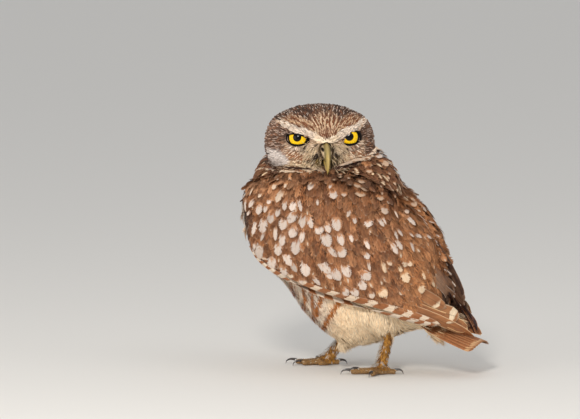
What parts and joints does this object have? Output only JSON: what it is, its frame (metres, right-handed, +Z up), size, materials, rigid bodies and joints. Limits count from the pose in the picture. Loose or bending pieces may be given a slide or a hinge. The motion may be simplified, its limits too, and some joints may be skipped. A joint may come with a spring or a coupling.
{
  "type": "burrowing owl",
  "caption": "Life-size still model of a burrowing owl that stands and looks back over its left shoulder.",
  "frame": {"origin": "on the floor, under the middle of the owl's box", "axes": "+Z up, the body faces -Y, the owl's left side is +X"},
  "size_m": [0.0986, 0.1684, 0.1754],
  "materials": {
    "brown_plumage": "soft feathers, brown with pale spots",
    "pale_plumage": "downy cream feathers",
    "leg_skin": "dull scaled skin with short bristles",
    "bill_horn": "smooth horn with a satin shine",
    "claw_horn": "dark satin horn",
    "eye": "wet gloss"
  },
  "bodies": {
    "root": {"head": "brown_plumage", "neck": "brown_plumage", "trunk": "brown_plumage", "wing_left": "brown_plumage", "wing_right": "brown_plumage", "tail": "brown_plumage", "thigh_left": "pale_plumage", "thigh_right": "pale_plumage", "shank_left": "leg_skin", "shank_right": "leg_skin", "foot_left": "leg_skin", "foot_right": "leg_skin", "eye_left": "eye", "eye_right": "eye", "bill_upper": "bill_horn", "bill_lower": "bill_horn", "claw_left_1": "claw_horn", "claw_left_2": "claw_horn", "claw_left_3": "claw_horn", "claw_left_4": "claw_horn", "claw_right_1": "claw_horn", "claw_right_2": "claw_horn", "claw_right_3": "claw_horn", "claw_right_4": "claw_horn"}
  },
  "joints": []
}
